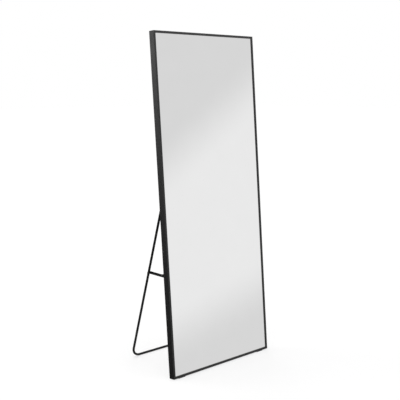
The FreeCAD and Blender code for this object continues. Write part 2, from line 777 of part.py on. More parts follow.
LEG_JOINT_PLACE = FreeCAD.Placement(leg_joint, STAND.Rotation)
elbow = stay_anchor + stay_line * (front_link_length / stay_line.Length)
ELBOW_PLACE = FreeCAD.Placement(elbow, FreeCAD.Rotation(AXIS_X, stay_slope))
rear_link_inner = f"({rear_link_face} + link_thickness)"
front_link_inner = f"({front_link_face} + link_thickness)"
stay_ear_inner = f"({stay_ear_face} + bracket_thickness)"


def heads(outer_face, inner_face, outer_head, inner_head):
    """The two ends of a rivet between two faces, each with its head's outer face or None."""
    low = f"({outer_face} - rivet_head_height)" if outer_head else None
    high = f"({inner_face} + rivet_head_height)" if inner_head else None
    return (outer_face, low), (inner_face, high)


stay_rivets, leg_rivets, leg_spacers = [], [], []
for side, name in SIDES:
    front = link(f"{name}_front_link", side, front_link_face, front_link_length, stay_anchor, stay_slope)
    drill_link(front, front_link_length)
    rear = link(f"{name}_rear_link", side, rear_link_face, rear_link_length, leg_joint,
                stay_slope + 2 * QUARTER_TURN)
    stop_nose(rear, side, rear_link_length)
    drill_link(rear, rear_link_length)
    radii = ("rivet_radius", "rivet_head_radius")
    stay_rivets.append(headed_pin(f"{name}_stay_rivet", ANCHOR_PLACE, side, *radii,
                                  *heads(f"({front_link_face} - side_gap)", stay_ear_inner, True, True)))
    leg_rivets.append(headed_pin(f"{name}_leg_rivet", LEG_JOINT_PLACE, side, *radii,
                                 *heads(tube_outer_face, f"({rear_link_inner} + side_gap)", True, True)))
    leg_spacers.append(ring(f"{name}_leg_spacer", LEG_JOINT_PLACE, side, tube_face, "link_spacer",
                            "spacer_radius", "rivet_radius + seat_clearance"))
    headed_pin(f"{name}_elbow_rivet_rear", ELBOW_PLACE, side, *radii,
               *heads(rear_link_face, f"({front_link_face} - side_gap)", True, False), member=False)
    ring(f"{name}_elbow_spacer", ELBOW_PLACE, side, rear_link_inner, "(link_gap - 2 * side_gap)",
         "spacer_radius", "rivet_radius + seat_clearance", member=False)
    headed_pin(f"{name}_elbow_rivet_front", ELBOW_PLACE, side, *radii,
               *heads(front_link_face, front_link_inner, False, True), member=False)
group("stay_rivets", stay_rivets)
group("leg_rivets", leg_rivets)
group("leg_spacers", leg_spacers)

# ---------------------------------------------------------------- check and write
doc.recompute()
for thing in doc.Objects:
    if "Invalid" in thing.State or "Error" in thing.State:
        raise RuntimeError(f"{thing.Label} failed: {thing.State}")
for part in SUBPARTS:
    shape = part.Shape
    if shape.isNull() or not shape.isValid() or not shape.Solids:
        raise RuntimeError(f"{part.Label} has no sound solid")

os.makedirs("parts", exist_ok=True)
for part in SUBPARTS:
    part.Shape.exportStep(f"parts/{part.Label}.step")
    print(part.Label, len(part.Shape.Solids), round(part.Shape.Volume, 1))
print("leg length", round(leg_length, 2), "leg angle", round(leg_angle, 2))
print("links", round(front_link_length, 2), round(rear_link_length, 2), "slope", round(stay_slope, 2))
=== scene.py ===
"""Finishes and fine pieces of a leaning floor mirror, built around its packed construction.

The file follows the mirror as it is put together. Lengths are metres in the construction's own
frame: +X to the viewer's right, +Y to the rear, +Z up, with the floor at zero.
"""
import json
import math

import bmesh
import bpy
import numpy as np
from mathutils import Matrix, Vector


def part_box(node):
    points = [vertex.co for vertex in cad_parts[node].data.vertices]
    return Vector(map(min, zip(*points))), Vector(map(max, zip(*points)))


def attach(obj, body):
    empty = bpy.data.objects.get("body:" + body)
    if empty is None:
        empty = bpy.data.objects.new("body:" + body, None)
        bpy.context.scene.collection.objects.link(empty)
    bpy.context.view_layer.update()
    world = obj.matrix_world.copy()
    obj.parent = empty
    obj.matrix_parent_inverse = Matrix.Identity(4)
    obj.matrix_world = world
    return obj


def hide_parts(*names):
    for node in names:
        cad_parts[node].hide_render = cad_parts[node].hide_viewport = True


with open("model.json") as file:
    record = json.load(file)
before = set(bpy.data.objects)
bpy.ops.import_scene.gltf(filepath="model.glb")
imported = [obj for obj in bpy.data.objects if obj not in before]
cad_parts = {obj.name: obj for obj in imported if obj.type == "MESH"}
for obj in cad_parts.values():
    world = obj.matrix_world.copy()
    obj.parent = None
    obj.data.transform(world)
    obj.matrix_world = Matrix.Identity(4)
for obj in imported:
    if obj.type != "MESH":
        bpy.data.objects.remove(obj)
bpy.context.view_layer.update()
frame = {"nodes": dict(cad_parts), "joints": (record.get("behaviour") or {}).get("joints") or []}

# ---------------------------------------------------------------- the mitred frame
# Four lengths of one hollow extruded aluminium section, sawn at 45 degrees, drilled, and powder
# coated satin black. The saw's and the die's edges are eased to a small radius, which is what
# catches the light along the frame.
MM = 0.001
frame_edge = 0.35 * MM
edge_steps = 3
same_point = 0.002 * MM
same_plane = math.radians(0.5)
sharpest_facet = math.radians(35)


def linear(hex_colour):
    """An sRGB hex colour as the linear colour that a shader takes."""
    value = np.array([int(hex_colour[place:place + 2], 16) for place in (1, 3, 5)]) / 255
    curved = np.where(value <= 0.04045, value / 12.92, ((value + 0.055) / 1.055) ** 2.4)
    return (*curved, 1.0)


def add_node(tree, kind, inputs=(), **settings):
    """Adds one shader node with its settings, and gives its sockets values or links."""
    made = tree.nodes.new(kind)
    for setting, value in settings.items():
        setattr(made, setting, value)
    for socket, value in dict(inputs).items():
        if isinstance(value, bpy.types.NodeSocket):
            tree.links.new(value, made.inputs[socket])
        else:
            made.inputs[socket].default_value = value
    return made


def new_material(name, **shader_values):
    """A node material with one Principled shader, and the Object coordinates that patterns read."""
    material = bpy.data.materials.new(name)
    material.use_nodes = True
    tree = material.node_tree
    shader = tree.nodes["Principled BSDF"]
    for socket, value in shader_values.items():
        shader.inputs[socket.replace("_", " ")].default_value = value
    place = add_node(tree, "ShaderNodeTexCoord").outputs["Object"]
    return material, tree, shader, place


def powder_coat(name, dark, light, smoothest, roughest, grain, relief, **shader_values):
    """Black polyester powder coat baked on metal: an orange-peel skin of low mounds.

    grain is the spacing of the widest mounds and relief their height. The gloss drifts over a few
    centimetres, as the powder's thickness does, with faint specks where grains stayed whole.
    """
    material, tree, shader, place = new_material(name, **shader_values)
    mounds = add_node(tree, "ShaderNodeTexNoise", {"Vector": place, "Scale": 1 / grain, "Detail": 3.0})
    tone = add_node(tree, "ShaderNodeMix", {
        "Factor": mounds.outputs["Fac"], "A": linear(dark), "B": linear(light)}, data_type="RGBA")
    tree.links.new(tone.outputs["Result"], shader.inputs["Base Color"])
    drift = add_node(tree, "ShaderNodeTexNoise", {"Vector": place, "Scale": 1 / (60 * MM), "Detail": 4.0})
    specks = add_node(tree, "ShaderNodeTexVoronoi", {"Vector": place, "Scale": 1 / (2 * grain)})
    spread = add_node(tree, "ShaderNodeMath", {
        0: specks.outputs["Distance"], 1: 0.15, 2: drift.outputs["Fac"]}, operation="MULTIPLY_ADD")
    gloss = add_node(tree, "ShaderNodeMapRange", {
        "Value": spread.outputs["Value"], "From Min": 0.3, "From Max": 0.8,
        "To Min": smoothest, "To Max": roughest})
    tree.links.new(gloss.outputs["Result"], shader.inputs["Roughness"])
    bump = add_node(tree, "ShaderNodeBump", {
        "Height": mounds.outputs["Fac"], "Strength": 0.6, "Distance": relief})
    tree.links.new(bump.outputs["Normal"], shader.inputs["Normal"])
    return material


def add_piece(name, mesh, material, body, node):
    """Puts a finished mesh on the body that it moves with, in place of a piece of the construction."""
    mesh.materials.clear()
    mesh.materials.append(material)
    piece = bpy.data.objects.new(name, mesh)
    bpy.context.scene.collection.objects.link(piece)
    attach(piece, body)
    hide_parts(node)
    return piece


def eased_copy(node, material, body, radius):
    """A copy of a piece of the construction with its sharp edges eased to a small radius.

    The construction's loose triangles are merged, flat neighbours are joined, and every edge that
    turns by more than a bend's facet does is rounded.
    """
    work = bmesh.new()
    work.from_mesh(frame["nodes"][node].data)
    bmesh.ops.remove_doubles(work, verts=work.verts, dist=same_point)
    bmesh.ops.dissolve_limit(work, angle_limit=same_plane, verts=work.verts, edges=work.edges)
    mesh = bpy.data.meshes.new(f"{node}_finished")
    work.to_mesh(mesh)
    work.free()
    if "custom_normal" in mesh.attributes:
        mesh.attributes.remove(mesh.attributes["custom_normal"])
    mesh.shade_smooth()
    mesh.set_sharp_from_angle(angle=sharpest_facet)
    piece = add_piece(f"{node}_finished", mesh, material, body, node)
    easing = piece.modifiers.new("eased_edges", "BEVEL")
    easing.width = radius
    easing.segments = edge_steps
    easing.limit_method = "ANGLE"
    easing.angle_limit = sharpest_facet
    easing.harden_normals = True
    easing.use_clamp_overlap = False


# Satin black powder coat on aluminium. The real mounds are 0.3 mm apart, which is the finest of
# the four octaves here, and the coarsest is drawn at 2.4 mm so that it shows at arm's length.
frame_coat = powder_coat("powder_coated_aluminium", dark="#090909", light="#1e1e1e", smoothest=0.38,
                         roughest=0.46, grain=2.4 * MM, relief=0.2 * MM, Specular_IOR_Level=0.4)
for member in ("left_stile", "right_stile", "top_rail", "bottom_rail"):
    eased_copy(member, frame_coat, "mirror", frame_edge)

# ---------------------------------------------------------------- corner keys and their screws
# L-shaped keys, die-cast in aluminium and left as they come from the mould, fill the ends of the
# hollow chambers. Eight socket set screws through the frame's rear wall hold them.
key_edge = 0.4 * MM
set_screw_radius = 2.0 * MM
set_screw_length = 8.0 * MM
set_screw_socket = 2.0 * MM
set_screw_socket_depth = 2.2 * MM
set_screw_chamfer = 0.25 * MM
screw_from_corner = 27.0 * MM
ring_points = 72
# A socket narrows to its floor and flares at its mouth, by these shares of its width.
socket_floor = 0.9
set_screw_mouth = 1.08

pivots = {joint["name"]: np.array(joint["pos_m"]) for joint in frame["joints"]}
hinge = pivots["stand_fold"]
stay_anchor = pivots["left_front_link_fold"]
across = np.array([1.0, 0.0, 0.0])
up_mirror = (hinge - stay_anchor) / np.linalg.norm(hinge - stay_anchor)
back_mirror = np.cross(up_mirror, across)
mirror_axes = np.array([across, back_mirror, up_mirror])
round_turn = np.linspace(0, 2 * np.pi, ring_points, endpoint=False)


def own_box(node, axes, left_only=False):
    """Lowest and highest places of a node, or of its left piece, along three axes of its own."""
    mesh = frame["nodes"][node].data
    points = np.empty(3 * len(mesh.vertices), np.float32)
    mesh.vertices.foreach_get("co", points)
    places = points.reshape(-1, 3).astype(float) @ axes.T
    if left_only:
        places = places[places[:, 0] < 0]
    return places.min(0), places.max(0)


def hexagon(across_flats):
    """Radius of a hexagon at every angle: half its width over the cosine to the nearest flat."""
    return across_flats / 2 / np.cos((round_turn + np.pi / 6) % (np.pi / 3) - np.pi / 6)


def lathe(centre, axes, stations):
    """Rings about the third axis, one at each (radius, height).

    A point is the centre, plus the height along that axis, plus the radius turned round it. A
    radius is one value, or one for every angle.
    """
    radius = np.array([np.broadcast_to(shape, round_turn.shape) for shape, _ in stations])[..., None]
    height = np.array([place for _, place in stations])[:, None, None]
    return (centre + height * axes[2] + radius * np.cos(round_turn)[:, None] * axes[0]
            + radius * np.sin(round_turn)[:, None] * axes[1])


def skin(rings, around=False):
    """Points and faces of a closed surface over rings of equally many points.

    Neighbouring rings are joined by quads. The first and the last are closed flat or, with around,
    joined to each other. The faces point outwards, by the sign of the volume that they enclose.
    """
    rings = np.asarray(rings, float)
    here = rings - rings.mean((0, 1))
    there = np.roll(here, -1, 0)
    ends = [] if around else [-here[0], here[-1]]
    if not around:
        here, there = here[:-1], there[:-1]
    beside, beyond = np.roll(here, -1, 1), np.roll(there, -1, 1)
    volume = np.sum(here * (np.cross(beside, beyond) + np.cross(beyond, there)))
    volume += sum(np.sum(end[0] * np.cross(end[1:-1], end[2:])) for end in ends)
    if volume < 0:
        rings = rings[:, ::-1]
    index = np.arange(rings.shape[0] * rings.shape[1]).reshape(rings.shape[:2])
    first, second = (index, np.roll(index, -1, 0)) if around else (index[:-1], index[1:])
    corners = [first, np.roll(first, -1, 1), np.roll(second, -1, 1), second]
    quads = np.stack(corners, -1).reshape(-1, 4)
    caps = [] if around else [index[0, ::-1], index[-1]]
    return rings.reshape(-1, 3), [*quads, *caps]


def skinned_piece(name, skins, material, body, node):
    """One piece of separate skins, smooth but for its sharp edges.

    Its large flat faces set the shading of the small roundings beside them.
    """
    starts = np.cumsum([0, *(len(points) for points, _ in skins)])
    faces = [face + start for start, (_, own) in zip(starts, skins) for face in own]
    mesh = bpy.data.meshes.new(name)
    mesh.from_pydata(np.concatenate([points for points, _ in skins]), [], faces)
    mesh.shade_smooth()
    mesh.set_sharp_from_angle(angle=sharpest_facet)
    piece = add_piece(name, mesh, material, body, node)
    flats = piece.modifiers.new("kept_flats", "WEIGHTED_NORMAL")
    flats.keep_sharp = True


# Die-cast aluminium has a grey skin with faint flow marks of the metal that cooled first.
key_casting, tree, shader, place = new_material("die_cast_aluminium", Metallic=1.0, Roughness=0.5)
flow = add_node(tree, "ShaderNodeTexNoise", {
    "Vector": place, "Scale": 1 / (4 * MM), "Detail": 6.0, "Distortion": 1.5})
tone = add_node(tree, "ShaderNodeMix", {
    "Factor": flow.outputs["Fac"], "A": linear("#8d9095"), "B": linear("#a7a9ad")}, data_type="RGBA")
tree.links.new(tone.outputs["Result"], shader.inputs["Base Color"])
for corner in ("bottom_left", "top_left", "top_right", "bottom_right"):
    eased_copy(f"{corner}_corner_key", key_casting, "mirror", key_edge)

# Black zinc plating is a thin chromate film over bright zinc, so the metal's own shine shows
# through it, blue-black where the film is thick and brown-grey where it has rubbed.
black_zinc, tree, shader, place = new_material("black_zinc_plated_steel", Metallic=1.0)
plating = add_node(tree, "ShaderNodeTexNoise", {
    "Vector": place, "Scale": 1 / (1.5 * MM), "Detail": 3.0})
tone = add_node(tree, "ShaderNodeMix", {
    "Factor": plating.outputs["Fac"], "A": linear("#4e5056"), "B": linear("#7a756f")}, data_type="RGBA")
tree.links.new(tone.outputs["Result"], shader.inputs["Base Color"])
wear = add_node(tree, "ShaderNodeMapRange", {
    "Value": plating.outputs["Fac"], "To Min": 0.25, "To Max": 0.42})
tree.links.new(wear.outputs["Result"], shader.inputs["Roughness"])

frame_low, frame_high = own_box("left_stile", mirror_axes)
outer_x, frame_rear = frame_low[0], frame_high[1]
frame_bottom, frame_top = frame_low[2], frame_high[2]
mid_face = (frame_high[0] - outer_x) / 2
socket = hexagon(set_screw_socket)
set_screw = [
    (socket * socket_floor, set_screw_socket_depth),
    (socket, set_screw_socket_depth - set_screw_chamfer),
    (socket, set_screw_chamfer / 2),
    (socket * set_screw_mouth, 0.0),
    (set_screw_radius - set_screw_chamfer, 0.0),
    (set_screw_radius, set_screw_chamfer),
    (set_screw_radius, set_screw_length - set_screw_chamfer),
    (set_screw_radius - set_screw_chamfer, set_screw_length),
]
set_screws = []
for side in (1, -1):
    for end, step in ((frame_bottom, 1), (frame_top, -1)):
        for inward, upward in ((mid_face, screw_from_corner), (screw_from_corner, mid_face)):
            centre = np.array([side * (outer_x + inward), frame_rear, end + step * upward]) @ mirror_axes
            set_screws.append(skin(lathe(centre, (across, up_mirror, -back_mirror), set_screw)))
skinned_piece("corner_set_screws", set_screws, black_zinc, "mirror", "corner_screws")

# ---------------------------------------------------------------- mirror glass
# 4 mm float glass, silvered on its back and with ground arrises. Float glass is flat to a few
# hundredths of a millimetre, so it looks even, with only a breath of haze from cleaning.
glass_corner = 1.5 * MM
glass_arris = 0.5 * MM
corner_steps = 6


def rounded_rectangle(low, high, radius):
    """Outline of a rectangle with round corners: four quarter arcs about their centres."""
    turn = np.linspace(0, np.pi / 2, corner_steps + 1) + np.arange(4)[:, None] * np.pi / 2
    centres = np.array([(high[0] - radius, high[1] - radius), (low[0] + radius, high[1] - radius),
                        (low[0] + radius, low[1] + radius), (high[0] - radius, low[1] + radius)])
    return (centres[:, None] + radius * np.stack([np.cos(turn), np.sin(turn)], -1)).reshape(-1, 2)


def sheet_skin(node, corner, ease):
    """A flat sheet that fills a node's box: a round-cornered outline at four depths.

    The outline is drawn in by ease at both faces, which bevels the edge all round.
    """
    low, high = own_box(node, mirror_axes)
    rings = []
    for back, inset in ((low[1], ease), (low[1] + ease, 0), (high[1] - ease, 0), (high[1], ease)):
        outline = rounded_rectangle(low[[0, 2]] + inset, high[[0, 2]] - inset, corner)
        depths = np.full(len(outline), back)
        rings.append(np.stack([outline[:, 0], depths, outline[:, 1]], -1) @ mirror_axes)
    return skin(rings)


silvering, tree, shader, place = new_material("silvered_float_glass", Metallic=1.0)
haze = add_node(tree, "ShaderNodeTexNoise", {"Vector": place, "Scale": 1 / (90 * MM), "Detail": 5.0})
tone = add_node(tree, "ShaderNodeMix", {
    "Factor": haze.outputs["Fac"], "A": linear("#f2f2f2"), "B": linear("#f5f5f5")}, data_type="RGBA")
tree.links.new(tone.outputs["Result"], shader.inputs["Base Color"])
clear = add_node(tree, "ShaderNodeMapRange", {
    "Value": haze.outputs["Fac"], "To Min": 0.01, "To Max": 0.03})
tree.links.new(clear.outputs["Result"], shader.inputs["Roughness"])
pane = sheet_skin("mirror_glass", glass_corner, glass_arris)
skinned_piece("silvered_glass", [pane], silvering, "mirror", "mirror_glass")

# ---------------------------------------------------------------- safety film, foam and backboard
# A woven self-adhesive film holds the glass if it breaks, a closed-cell foam sheet beds it, and a
# thin fibreboard with a black paper face closes the back. All three are cut with a blade.
cut_corner = 1.0 * MM
film_ease = 0.02 * MM
foam_ease = 0.1 * MM
board_ease = 0.3 * MM

# Ribbons of polypropylene 4 mm wide, in two near tones with light gaps between them.
film, tree, shader, place = new_material("polypropylene_film", Roughness=0.35)
weave = add_node(tree, "ShaderNodeTexBrick", {
    "Vector": place, "Scale": 1.0, "Brick Width": 4 * MM, "Row Height": 4 * MM, "Mortar Size": 0.3 * MM,
    "Color1": (0.4, 0.4, 0.4, 1), "Color2": (0.6, 0.6, 0.6, 1), "Mortar": (1, 1, 1, 1)})
tone = add_node(tree, "ShaderNodeMix", {
    "Factor": weave.outputs["Color"], "A": linear("#c6c9cc"), "B": linear("#dcdee0")}, data_type="RGBA")
tree.links.new(tone.outputs["Result"], shader.inputs["Base Color"])

# Foamed polyethylene is dull white, with cells about 1 mm across whose walls are lighter.
foam, tree, shader, place = new_material("polyethylene_foam", Roughness=0.9)
cells = add_node(tree, "ShaderNodeTexVoronoi", {"Vector": place, "Scale": 1 / (1.2 * MM)})
tone = add_node(tree, "ShaderNodeMix", {
    "Factor": cells.outputs["Distance"], "A": linear("#d8d8d6"), "B": linear("#f2f2f0")}, data_type="RGBA")
tree.links.new(tone.outputs["Result"], shader.inputs["Base Color"])

# Paper over pressed wood fibre: matt, with tangled fibres and a faint cloudy press mark. Real
# fibres lie about 1 mm apart, and their widest octave is drawn at 7 mm so that it shows.
board, tree, shader, place = new_material("paper_faced_fibreboard", Roughness=0.82)
fibres = add_node(tree, "ShaderNodeTexNoise", {
    "Vector": place, "Scale": 1 / (7 * MM), "Detail": 8.0, "Roughness": 0.7, "Distortion": 0.8})
clouds = add_node(tree, "ShaderNodeTexNoise", {"Vector": place, "Scale": 1 / (140 * MM), "Detail": 3.0})
felt = add_node(tree, "ShaderNodeMath", {
    0: clouds.outputs["Fac"], 1: 0.25, 2: fibres.outputs["Fac"]}, operation="MULTIPLY_ADD")
mottle = add_node(tree, "ShaderNodeMapRange", {
    "Value": felt.outputs["Value"], "From Min": 0.35, "From Max": 0.9})
tone = add_node(tree, "ShaderNodeMix", {
    "Factor": mottle.outputs["Result"], "A": linear("#2b2a28"), "B": linear("#484541")}, data_type="RGBA")
tree.links.new(tone.outputs["Result"], shader.inputs["Base Color"])
bump = add_node(tree, "ShaderNodeBump", {
    "Height": fibres.outputs["Fac"], "Strength": 0.5, "Distance": 0.3 * MM})
tree.links.new(bump.outputs["Normal"], shader.inputs["Normal"])

for node, material, slot, ease in (
    ("safety_film", film, "safety_film", film_ease),
    ("foam_sheet", foam, "foam", foam_ease),
    ("backboard", board, "fibreboard", board_ease),
):
    skinned_piece(f"{node}_cut", [sheet_skin(node, cut_corner, ease)], material, "mirror", node)

# ---------------------------------------------------------------- rubber feet
# Moulded rubber wedges, held by studs pressed into the bottom rail. They make up for the mirror's
# lean, so their undersides are level, and the mould leaves all their edges softly rounded.
pad_edge = 0.5 * MM


def moulded(name, dark, light, roughness, grain, detail, relief, strength):
    """Rubber or plastic out of a spark-eroded mould, with the mould's fine grain in its black.

    grain is the spacing of the widest pits and relief their depth. Real pits are about 0.1 mm
    apart, so they are drawn coarser here to show.
    """
    material, tree, shader, place = new_material(name, Roughness=roughness)
    pits = add_node(tree, "ShaderNodeTexNoise", {"Vector": place, "Scale": 1 / grain, "Detail": detail})
    tone = add_node(tree, "ShaderNodeMix", {
        "Factor": pits.outputs["Fac"], "A": linear(dark), "B": linear(light)}, data_type="RGBA")
    tree.links.new(tone.outputs["Result"], shader.inputs["Base Color"])
    bump = add_node(tree, "ShaderNodeBump", {
        "Height": pits.outputs["Fac"], "Strength": strength, "Distance": relief})
    tree.links.new(bump.outputs["Normal"], shader.inputs["Normal"])
    return material


# Rubber filled with carbon black is matt, with the grain standing out a little grey.
rubber = moulded("moulded_rubber", dark="#101010", light="#1f1f1f", roughness=0.75, grain=0.7 * MM,
                 detail=4.0, relief=0.05 * MM, strength=0.5)
for side in ("left", "right"):
    eased_copy(f"{side}_foot_pad", rubber, "mirror", pad_edge)

# ---------------------------------------------------------------- brackets and their screws
# Steel blanks 2 mm thick, pierced, folded twice and powder coated a little rougher than the
# frame. The press leaves a small round on every edge. Two pan-head screws hold each bracket.
press_edge = 0.3 * MM
screw_shank = 2.0 * MM
screw_length = 8.0 * MM
screw_point = 0.4 * MM
screw_step = 14.0 * MM
pan_head_radius = 3.6 * MM
pan_head_height = 1.6 * MM
pan_head_dome = 1.2 * MM
pan_head_flat = 2.3 * MM
pan_head_edge = 0.1 * MM
dome_steps = 8
recess_reach = 1.9 * MM
# Half a bar's width as a share of its reach, then the recess's own reach at three depths.
recess_bar = math.tan(math.radians(15))
recess_stages = ((1.0, 0.02 * MM), (0.9, 0.3 * MM), (0.55, 1.1 * MM))
off_axis = 1e-9

# Powder coat on steel: its finest mounds are 0.25 mm apart, near the real spacing, and its
# coarsest are drawn at 2 mm, so that they show.
steel_coat = powder_coat("powder_coated_steel", dark="#080808", light="#1a1a1a", smoothest=0.42,
                         roughest=0.52, grain=2.0 * MM, relief=0.17 * MM, Specular_IOR_Level=0.3)
for side in ("left", "right"):
    for part in ("hinge_bracket", "stay_bracket"):
        eased_copy(f"{side}_{part}", steel_coat, "mirror", press_edge)


def cross_recess(reach):
    """Radius of a plus sign at every angle: the further edge of its two crossed bars.

    A bar's edge is at its reach over the cosine or its half width over the sine, the nearer one.
    """
    wide, tall = np.abs(np.cos(round_turn)) + off_axis, np.abs(np.sin(round_turn)) + off_axis
    half_bar = reach * recess_bar
    return np.maximum(np.minimum(reach / wide, half_bar / tall), np.minimum(half_bar / wide, reach / tall))


def dome(radius, rim, flat):
    """Stations over a low round head, from its flat top out to its rim.

    Radius goes with the sine of an angle and depth with its cosine, as on an ellipse.
    """
    turns = np.linspace(math.asin(flat / radius), np.pi / 2, dome_steps)
    return [(radius * math.sin(turn), rim * (1 - math.cos(turn) / math.cos(turns[0]))) for turn in turns]


def turned_pair(node, stations, around=False, start=0.0):
    """Skins of a left piece turned about a sideways line, and of its mirror image on the right.

    The line runs through the middle of the node's box, and depths count inwards from the node's
    outermost face.
    """
    low, high = (np.array(corner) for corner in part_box(node))
    centre = np.array([low[0] + start, *(low + high)[1:] / 2])
    rings = lathe(centre, np.roll(np.eye(3), -1, 0), stations)
    return [skin(rings * (side, 1, 1), around) for side in (1, -1)]


pan_top = screw_length + pan_head_height
pan_dome = dome(pan_head_radius, pan_head_dome, pan_head_flat)
pan_screw = [
    (screw_shank - screw_point, 0.0),
    (screw_shank, screw_point),
    (screw_shank, screw_length),
    (pan_head_radius - pan_head_edge, screw_length),
    (pan_head_radius, screw_length + pan_head_edge),
    *((radius, pan_top - depth) for radius, depth in reversed(pan_dome)),
    *((cross_recess(recess_reach * share), pan_top - depth) for share, depth in recess_stages),
]
pan_low, pan_high = own_box("bracket_screws", mirror_axes, left_only=True)
pan_back = (pan_low + pan_high)[1] / 2
pan_screws = []
for height in (hinge, stay_anchor):
    for step in (screw_step, -screw_step):
        centre = np.array([pan_low[0], pan_back, height @ up_mirror + step]) @ mirror_axes
        rings = lathe(centre, (back_mirror, up_mirror, across), pan_screw)
        pan_screws += [skin(rings), skin(rings * (-1, 1, 1))]
skinned_piece("bracket_pan_screws", pan_screws, black_zinc, "mirror", "bracket_screws")

# ---------------------------------------------------------------- the U stand and its plugs
# One length of welded steel tube, bent twice on a mandrel and powder coated. The outside of each
# bend is stretched, so it flattens a little. Moulded plugs with round heads close the ends.
tube_wall = 1.2 * MM
bend_radius = 45.0 * MM
bend_steps = 28
bend_flattening = 0.05
tube_chamfer = 0.3 * MM
plug_head = 2.0 * MM
plug_flat = 2.0 * MM
domed_share = 0.85

leg_joint = pivots["left_rear_link_fold"]
down_leg = (leg_joint - hinge) / np.linalg.norm(leg_joint - hinge)
behind_leg = np.cross(down_leg, across)
stand_axes = np.array([across, behind_leg, down_leg])
tube_low, tube_high = own_box("stand_tube", stand_axes)
tube_radius = (tube_high - tube_low)[1] / 2
bore_radius = tube_radius - tube_wall
leg_reach, tube_plane = tube_high[0] - tube_radius, (tube_high + tube_low)[1] / 2
tube_top, tube_foot = tube_low[2], tube_high[2] - tube_radius


def tube_rings(radius, start):
    """Rings along the U: a leg, a quarter bend, the foot bar, a quarter bend and a leg.

    At every turn of the path a ring lies in the plane of its outward normal and the stand's own
    normal. Through a bend the outer side is drawn in by the square of the sine of twice the turn.
    start is how far below the legs' tops the two end rings lie.
    """
    turn = np.concatenate([[0, 0], np.linspace(0, np.pi / 2, bend_steps),
                           np.linspace(np.pi / 2, np.pi, bend_steps), [np.pi, np.pi]])
    side = np.repeat([-1, 1], 2 + bend_steps)
    outwards = np.stack([-np.cos(turn), np.zeros_like(turn), np.sin(turn)], -1)
    centre = np.stack([side * (leg_reach - bend_radius), np.full_like(turn, tube_plane),
                       np.full_like(turn, tube_foot - bend_radius)], -1)
    middle = centre + bend_radius * outwards
    middle[[0, 1, -2, -1], 2] = tube_top + np.array([start, 2 * tube_chamfer, 2 * tube_chamfer, start])
    stretch = np.outer(np.sin(2 * turn) ** 2, np.clip(np.cos(round_turn), 0, 1) ** 2)
    drawn_in = 1 - bend_flattening * stretch
    drawn_in[[0, 1, -2, -1]] = 1
    return (middle[:, None] + radius * drawn_in[..., None] * np.cos(round_turn)[:, None] * outwards[:, None]
            + radius * np.sin(round_turn)[:, None] * np.array([0.0, 1.0, 0.0]))


tube_coat = powder_coat("powder_coated_tube", dark="#070707", light="#181818", smoothest=0.42,
                        roughest=0.52, grain=2.0 * MM, relief=0.17 * MM, Specular_IOR_Level=0.3)
outside = tube_rings(tube_radius, tube_chamfer)
bore = tube_rings(bore_radius, 0.0)
rims = tube_rings(tube_radius - tube_chamfer, 0.0)
u_tube = np.concatenate([rims[:1], outside, rims[-1:], bore[::-1]]) @ stand_axes
u_skin = skin(u_tube, around=True)
skinned_piece("bent_tube", [u_skin], tube_coat, "stand", "stand_tube")

# Polyethylene has a soft sheen, a little duller than nylon's.
plug_plastic = moulded("moulded_polyethylene", dark="#131313", light="#1d1d1d", roughness=0.48,
                       grain=0.4 * MM, detail=2.0, relief=0.02 * MM, strength=0.4)
for side, sign in (("left", 1), ("right", -1)):
    low, high = own_box(f"{side}_tube_plug", stand_axes)
    centre = np.array([sign * -leg_reach, tube_plane, low[2]]) @ stand_axes
    depth = high[2] - low[2]
    plug = skin(lathe(centre, stand_axes, (
        *dome(tube_radius, plug_head * domed_share, plug_flat),
        (tube_radius, plug_head),
        (bore_radius, plug_head),
        (bore_radius, depth - tube_chamfer),
        (bore_radius - tube_chamfer, depth),
    )))
    skinned_piece(f"{side}_plug_moulded", [plug], plug_plastic, "stand",
                  f"{side}_tube_plug")

# ---------------------------------------------------------------- the stand's pivots
# An M6 button-head bolt passes through each leg and its bracket, with a nylon washer on each
# side of the tube, and a steel lock nut with a round collar keeps it from working loose.
bolt_shank = 3.0 * MM
bolt_head_radius = 5.5 * MM
bolt_head_height = 3.4 * MM
bolt_socket = 4.0 * MM
bolt_socket_depth = 1.9 * MM
bolt_socket_mouth = 1.06
bolt_flat = 0.7 * bolt_socket
thread_pitch = 1.0 * MM
thread_depth = 0.5 * MM
thread_length = 7.0 * MM
thread_steps = 8
washer_radius = 6.0 * MM
washer_thickness = 1.0 * MM
pin_fit = 0.06 * MM
nut_across_flats = 9.96 * MM
nut_hexagon_height = 3.4 * MM
nut_height = 5.0 * MM
nut_collar_radius = 4.6 * MM
nut_bearing = 0.48 * nut_across_flats
nut_shoulder = 0.52 * nut_across_flats
nut_top = 0.49 * nut_across_flats
nut_chamfer_start = 0.2 * MM
nut_bottom_chamfer = 0.7 * MM
nut_top_chamfer = 0.6 * MM
collar_roll = 0.5 * MM
collar_shoulder = 0.15 * MM
collar_lip = 0.6 * MM
collar_sunk = 0.3 * MM
fine_edge = 0.15 * MM


def thread(shank, start, end):
    """Stations of a screw thread.

    The radius falls and rises as a triangle wave along the shank, shifted by one pitch each turn.
    """
    places = np.arange(start, end, thread_pitch / thread_steps)
    share = (places[:, None] / thread_pitch - round_turn / (2 * np.pi)) % 1
    return [(shank - thread_depth * row, place) for row, place in zip(1 - np.abs(2 * share - 1), places)]


def flat_ring(hole, radius, thickness):
    """Stations round a washer or spacer with fine chamfers."""
    return [(hole, fine_edge), (hole + fine_edge, 0.0), (radius - fine_edge, 0.0), (radius, fine_edge),
            (radius, thickness - fine_edge), (radius - fine_edge, thickness), (hole + fine_edge, thickness),
            (hole, thickness - fine_edge)]


